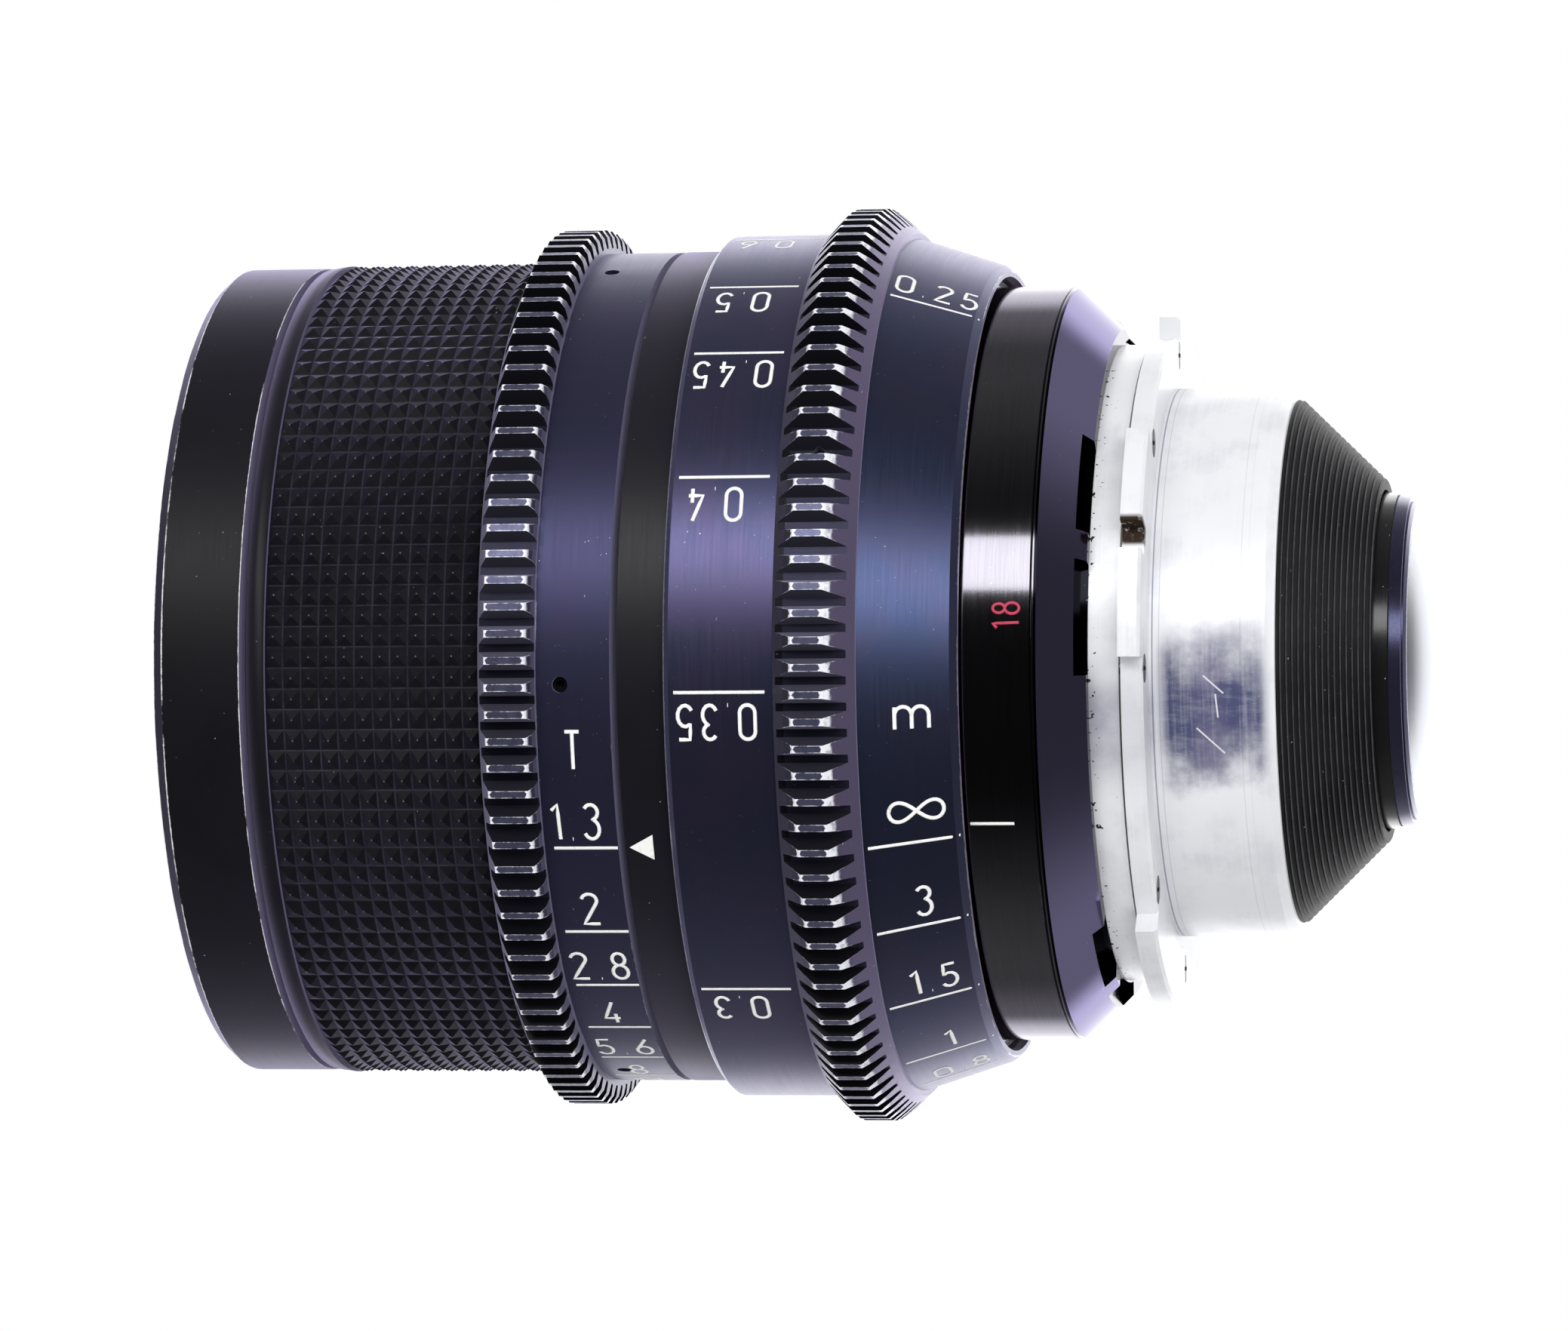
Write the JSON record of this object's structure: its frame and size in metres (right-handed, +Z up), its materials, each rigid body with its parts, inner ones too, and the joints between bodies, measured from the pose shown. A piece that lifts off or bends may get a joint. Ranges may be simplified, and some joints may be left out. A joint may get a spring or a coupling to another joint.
{
  "type": "cinema prime lens",
  "caption": "Cinema prime lens with a geared focus ring, a geared iris ring with bladed diaphragm, and a bare metal camera mount.",
  "frame": {"origin": "centre of the flange's seat, the plane that rests on the camera", "axes": "+X along the lens axis from the front glass to the camera, +Z up; the side with the index marks faces -Y"},
  "size_m": [0.1203, 0.0904, 0.0904],
  "materials": {
    "bare_metal": "bare turned metal, pitted and scratched",
    "screw_steel": "plain steel",
    "shim_brass": "turned",
    "gloss_black": "gloss black anodised",
    "matte_black": "matte black anodised",
    "inner_aluminium": "turned",
    "violet_anodised": "satin violet-black anodised",
    "satin_black": "satin black anodised",
    "blade_steel": "blackened spring steel",
    "lens_glass": "polished and coated"
  },
  "bodies": {
    "mount_body": {"lens_mount": "bare_metal", "mount_screws": "screw_steel", "mount_shim": "shim_brass", "seat_ring": "bare_metal", "rear_barrel": "gloss_black", "guide_tube": "inner_aluminium", "guide_key": "screw_steel", "key_screws": "screw_steel", "focus_retainer": "inner_aluminium", "rear_baffle": "matte_black"},
    "focus_ring": {"focus_nut": "shim_brass", "focus_sleeve": "violet_anodised", "focus_gear": "violet_anodised", "focus_gear_screws": "screw_steel", "focus_cone": "violet_anodised", "focus_stop_pin": "screw_steel"},
    "optical_block": {"front_barrel": "inner_aluminium", "index_band": "satin_black", "front_ring": "satin_black", "front_baffle": "matte_black", "front_cell": "matte_black", "front_retainer": "matte_black", "front_element": "lens_glass", "front_spacer": "matte_black", "second_element": "lens_glass", "middle_spacer": "matte_black", "third_element": "lens_glass", "iris_retainer": "matte_black", "iris_base_plate": "matte_black", "rear_group_barrel": "gloss_black", "rear_group_retainer": "matte_black", "fourth_element": "lens_glass", "rear_spacer": "matte_black", "fifth_element_front": "lens_glass", "fifth_element_rear": "lens_glass", "second_rear_spacer": "matte_black", "sixth_element": "lens_glass", "rear_element": "lens_glass", "rear_retainer": "gloss_black"},
    "iris_ring": {"iris_grip": "satin_black", "iris_gear": "violet_anodised", "iris_scale_ring": "violet_anodised", "iris_set_screws": "screw_steel", "iris_cam_ring": "inner_aluminium", "iris_drive_pin": "screw_steel"},
    "blade_1": {"iris_blade_1": "blade_steel"},
    "blade_2": {"iris_blade_2": "blade_steel"},
    "blade_3": {"iris_blade_3": "blade_steel"},
    "blade_4": {"iris_blade_4": "blade_steel"},
    "blade_5": {"iris_blade_5": "blade_steel"},
    "blade_6": {"iris_blade_6": "blade_steel"},
    "blade_7": {"iris_blade_7": "blade_steel"}
  },
  "joints": [
    {"name": "focus_turn", "type": "hinge", "parent": "mount_body", "child": "focus_ring", "pos_m": [-0.0299, 0, 0], "axis": [-1, 0, 0], "range_deg": [0, 278]},
    {"name": "block_slide", "type": "slide", "parent": "mount_body", "child": "optical_block", "axis": [-1, 0, 0], "range_m": [0, 0.00232]},
    {"name": "iris_turn", "type": "hinge", "parent": "optical_block", "child": "iris_ring", "pos_m": [-0.0591, 0, 0], "axis": [-1, 0, 0], "range_deg": [0, 72.5]},
    {"name": "blade_1_turn", "type": "hinge", "parent": "optical_block", "child": "blade_1", "pos_m": [-0.0482, -0.022, 0], "axis": [-1, 0, 0], "range_deg": [0, 33]},
    {"name": "blade_2_turn", "type": "hinge", "parent": "optical_block", "child": "blade_2", "pos_m": [-0.0482, -0.01372, 0.0172], "axis": [-1, 0, 0], "range_deg": [0, 33]},
    {"name": "blade_3_turn", "type": "hinge", "parent": "optical_block", "child": "blade_3", "pos_m": [-0.0482, 0.0049, 0.02145], "axis": [-1, 0, 0], "range_deg": [0, 33]},
    {"name": "blade_4_turn", "type": "hinge", "parent": "optical_block", "child": "blade_4", "pos_m": [-0.0482, 0.01982, 0.00955], "axis": [-1, 0, 0], "range_deg": [0, 33]},
    {"name": "blade_5_turn", "type": "hinge", "parent": "optical_block", "child": "blade_5", "pos_m": [-0.0482, 0.01982, -0.00955], "axis": [-1, 0, 0], "range_deg": [0, 33]},
    {"name": "blade_6_turn", "type": "hinge", "parent": "optical_block", "child": "blade_6", "pos_m": [-0.0482, 0.0049, -0.02145], "axis": [-1, 0, 0], "range_deg": [0, 33]},
    {"name": "blade_7_turn", "type": "hinge", "parent": "optical_block", "child": "blade_7", "pos_m": [-0.0482, -0.01372, -0.0172], "axis": [-1, 0, 0], "range_deg": [0, 33]}
  ],
  "couplings": [
    {"joint": "block_slide", "follows": "focus_turn", "m_per_rad": 0.00047746},
    {"joint": "blade_1_turn", "follows": "iris_turn", "ratio": 0.45517},
    {"joint": "blade_2_turn", "follows": "iris_turn", "ratio": 0.45517},
    {"joint": "blade_3_turn", "follows": "iris_turn", "ratio": 0.45517},
    {"joint": "blade_4_turn", "follows": "iris_turn", "ratio": 0.45517},
    {"joint": "blade_5_turn", "follows": "iris_turn", "ratio": 0.45517},
    {"joint": "blade_6_turn", "follows": "iris_turn", "ratio": 0.45517},
    {"joint": "blade_7_turn", "follows": "iris_turn", "ratio": 0.45517}
  ]
}
